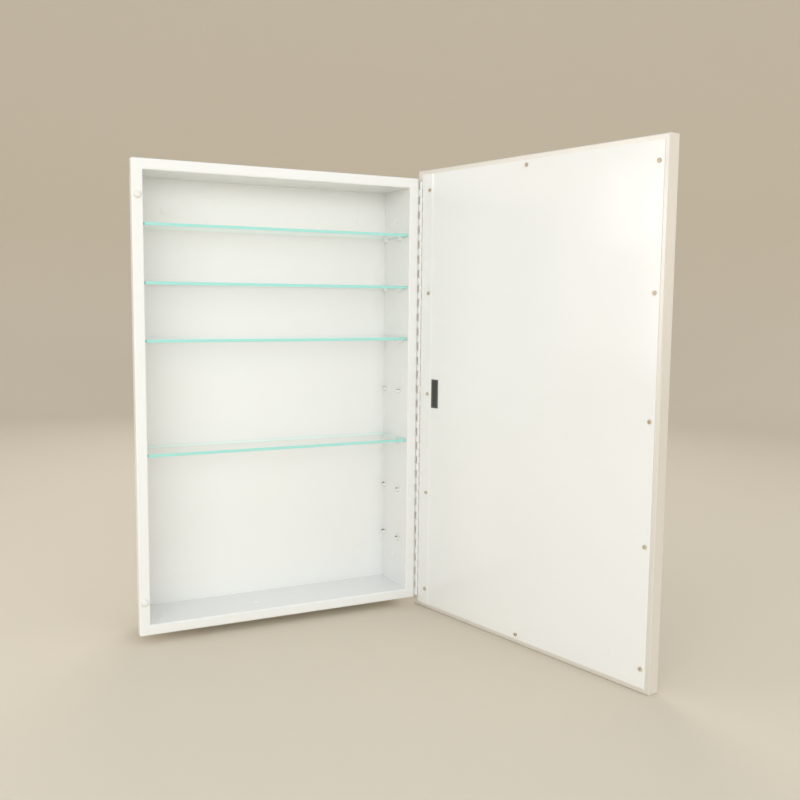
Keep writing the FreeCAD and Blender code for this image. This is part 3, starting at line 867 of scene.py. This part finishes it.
class CABINET_OT_hole_plugs(bpy.types.Operator):
    """Model one snap-in plug, and set a copy in each fixing hole of the back and the side walls"""
    bl_idname = "cabinet.hole_plugs"
    bl_label = "Hole plugs"

    def execute(self, context):
        fittings = context.scene.cabinet_fittings
        mounts = {mount["name"]: mount for mount in frame["record"]["mounts"]}
        radius = mounts["back_fixing_holes"]["dims"]["hole_r_mm"] * MM
        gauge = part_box("back_panel")[1].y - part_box("back_panel")[0].y
        plug = self.model(fittings, radius, gauge)
        seats = [
            Matrix.Translation(hole) @ inward.to_track_quat("Z", "Y").to_matrix().to_4x4()
            for hole, inward in self.places(mounts, gauge)
        ]
        plugs = set_copies(plug, seats, "hole_plugs")
        plastic = soft_rubber("plug_plastic", context.scene.cabinet_finishes.plug)
        hand_over(plugs, "cabinet", plastic)
        return {"FINISHED"}

    def places(self, mounts, gauge):
        """Each hole's centre on the inner face, and the way into the box."""
        for name in ("back_fixing_holes", "right_fixing_holes", "left_fixing_holes"):
            mount = mounts[name]
            centre, inward = Vector(mount["pos_m"]), -Vector(mount["axis"])
            across = mount["dims"].get("spacing_x_mm", 0.0) * MM / 2
            up = mount["dims"]["spacing_y_mm"] * MM / 2
            for side in ((-1, 1) if across else (0,)):
                for end in (-1, 1):
                    yield centre + Vector((side * across, 0, end * up)) + inward * gauge / 2, inward

    def model(self, fittings, radius, gauge):
        """A plug on Z, with its head's seat at the origin and its shank just through the sheet."""
        head = radius + fittings.plug_rim
        crown = fittings.plug_crown
        clear_selection()
        bpy.ops.mesh.primitive_cylinder_add(
            vertices=HEAD_SIDES, radius=head, depth=crown, location=(0, 0, crown / 2),
        )
        plug = new_piece("plug")
        pick_faces(plug, (0, 0, -1))
        bpy.ops.mesh.inset(thickness=fittings.plug_rim + fittings.plug_play)
        bpy.ops.mesh.extrude_region_move(TRANSFORM_OT_translate={"value": (0, 0, -gauge)})
        bpy.ops.transform.resize(value=(PLUG_FOOT, PLUG_FOOT, 1))
        pick(plug, "EDGE", lambda edge: all(v.co.z > crown - NEAR for v in edge.verts))
        bpy.ops.mesh.bevel(
            offset=crown * PLUG_ROUNDING, segments=ROUNDING_STEPS, profile=0.5, clamp_overlap=True,
        )
        bpy.ops.object.mode_set(mode="OBJECT")
        return plug


class CABINET_OT_studio(bpy.types.Operator):
    """Set the pale floor and cove, the soft lights and the camera"""
    bl_idname = "cabinet.studio"
    bl_label = "Studio"

    def execute(self, context):
        studio = context.scene.cabinet_studio
        self.ground(studio)
        self.lights(context, studio)
        self.camera(context, studio)
        context.scene.view_settings.view_transform = "Standard"
        return {"FINISHED"}

    def ground(self, studio):
        """A round floor that sweeps up into a wall."""
        floor_level = CAD_BOX[0].z - FLOOR_GAP
        clear_selection()
        bpy.ops.mesh.primitive_circle_add(
            vertices=COVE_SIDES, radius=studio.cove_radius, fill_type="TRIFAN", location=(0, 0, floor_level),
        )
        cove = new_piece("studio_ground")
        pick(cove, "EDGE", lambda edge: edge.is_boundary)
        reach, rise = studio.cove_radius, 0.0
        for ring in range(1, COVE_RINGS + 2):
            turn = min(ring, COVE_RINGS) / COVE_RINGS * math.pi / 2
            new_reach = studio.cove_radius + studio.cove_bend * math.sin(turn)
            new_rise = studio.cove_bend * (1 - math.cos(turn)) + studio.cove_height * (ring > COVE_RINGS)
            bpy.ops.mesh.extrude_region_move(TRANSFORM_OT_translate={"value": (0, 0, new_rise - rise)})
            share = new_reach / reach
            bpy.ops.transform.resize(value=(share, share, 1), center_override=(0, 0, floor_level))
            reach, rise = new_reach, new_rise
        bpy.ops.object.mode_set(mode="OBJECT")
        bpy.ops.object.shade_smooth()
        paint = Paint("studio_ground")
        grain = paint.noise(paint.place(), 60.0, detail=3.0)
        shader = paint.surface(Base_Color=rgba(studio.ground), Roughness=0.85 + (grain - 0.5) * 0.1)
        cove.data.materials.append(paint.finish(shader))
        clear_selection()

    def lights(self, context, studio):
        """Even daylight, and soft boxes aimed at the cabinet's middle."""
        world = bpy.data.worlds.new("studio_daylight")
        world.use_nodes = True
        sky = next(node for node in world.node_tree.nodes if node.type == "BACKGROUND")
        sky.inputs["Color"].default_value = rgba(studio.daylight)
        sky.inputs["Strength"].default_value = studio.daylight_strength
        context.scene.world = world
        middle = (CAD_BOX[0] + CAD_BOX[1]) / 2
        for lamp in LAMPS:
            light = bpy.data.lights.new(lamp.name, "AREA")
            light.energy = lamp.power
            light.shape = "RECTANGLE"
            light.size = lamp.wide
            light.size_y = lamp.tall
            light.color = lamp.colour
            box = bpy.data.objects.new(lamp.name, light)
            box.location = lamp.place
            box.rotation_euler = (middle - Vector(lamp.place)).to_track_quat("-Z", "Y").to_euler()
            box.visible_glossy = lamp.mirrored
            context.scene.collection.objects.link(box)

    def camera(self, context, studio):
        """The camera, where the photographed cabinet was seen from."""
        camera = bpy.data.objects.new("photo_camera", bpy.data.cameras.new("photo_camera"))
        camera.data.lens = studio.camera_lens
        turn = Matrix.Rotation(studio.camera_yaw, 4, "Z") @ Matrix.Rotation(studio.camera_pitch, 4, "X")
        turn = turn @ Matrix.Rotation(studio.camera_roll, 4, "Y") @ Matrix.Rotation(math.pi / 2, 4, "X")
        camera.matrix_world = Matrix.Translation(studio.camera_place) @ turn
        context.scene.collection.objects.link(camera)
        context.scene.camera = camera


OPERATORS = (
    CABINET_OT_box, CABINET_OT_shelves, CABINET_OT_hinge, CABINET_OT_door_frame, CABINET_OT_door_filling,
    CABINET_OT_door_panel, CABINET_OT_panel_screws, CABINET_OT_blank_plate, CABINET_OT_bumpers,
    CABINET_OT_hole_plugs, CABINET_OT_studio,
)


class CABINET_PT_tools(bpy.types.Panel):
    """Tools that dress the cabinet"""
    bl_idname = "CABINET_PT_tools"
    bl_label = "Medicine cabinet"
    bl_space_type = "VIEW_3D"
    bl_region_type = "UI"
    bl_category = "Cabinet"

    def draw(self, context):
        for operator in OPERATORS:
            self.layout.operator(operator.bl_idname)
        for group in GROUPS:
            settings = getattr(context.scene, group)
            for name in settings.bl_rna.properties.keys():
                if name not in ("rna_type", "name"):
                    self.layout.prop(settings, name)


GROUPS = {
    "cabinet_finishes": CabinetFinishes,
    "cabinet_fittings": CabinetFittings,
    "cabinet_studio": CabinetStudio,
}
CLASSES = (*GROUPS.values(), *OPERATORS, CABINET_PT_tools)


def register():
    for entry in CLASSES:
        bpy.utils.register_class(entry)
    for name, group in GROUPS.items():
        setattr(bpy.types.Scene, name, PointerProperty(type=group))


def unregister():
    for name in GROUPS:
        delattr(bpy.types.Scene, name)
    for entry in reversed(CLASSES):
        bpy.utils.unregister_class(entry)


def main():
    register()
    for operator in OPERATORS:
        category, name = operator.bl_idname.split(".")
        getattr(getattr(bpy.ops, category), name)()


if __name__ == "__main__":
    main()
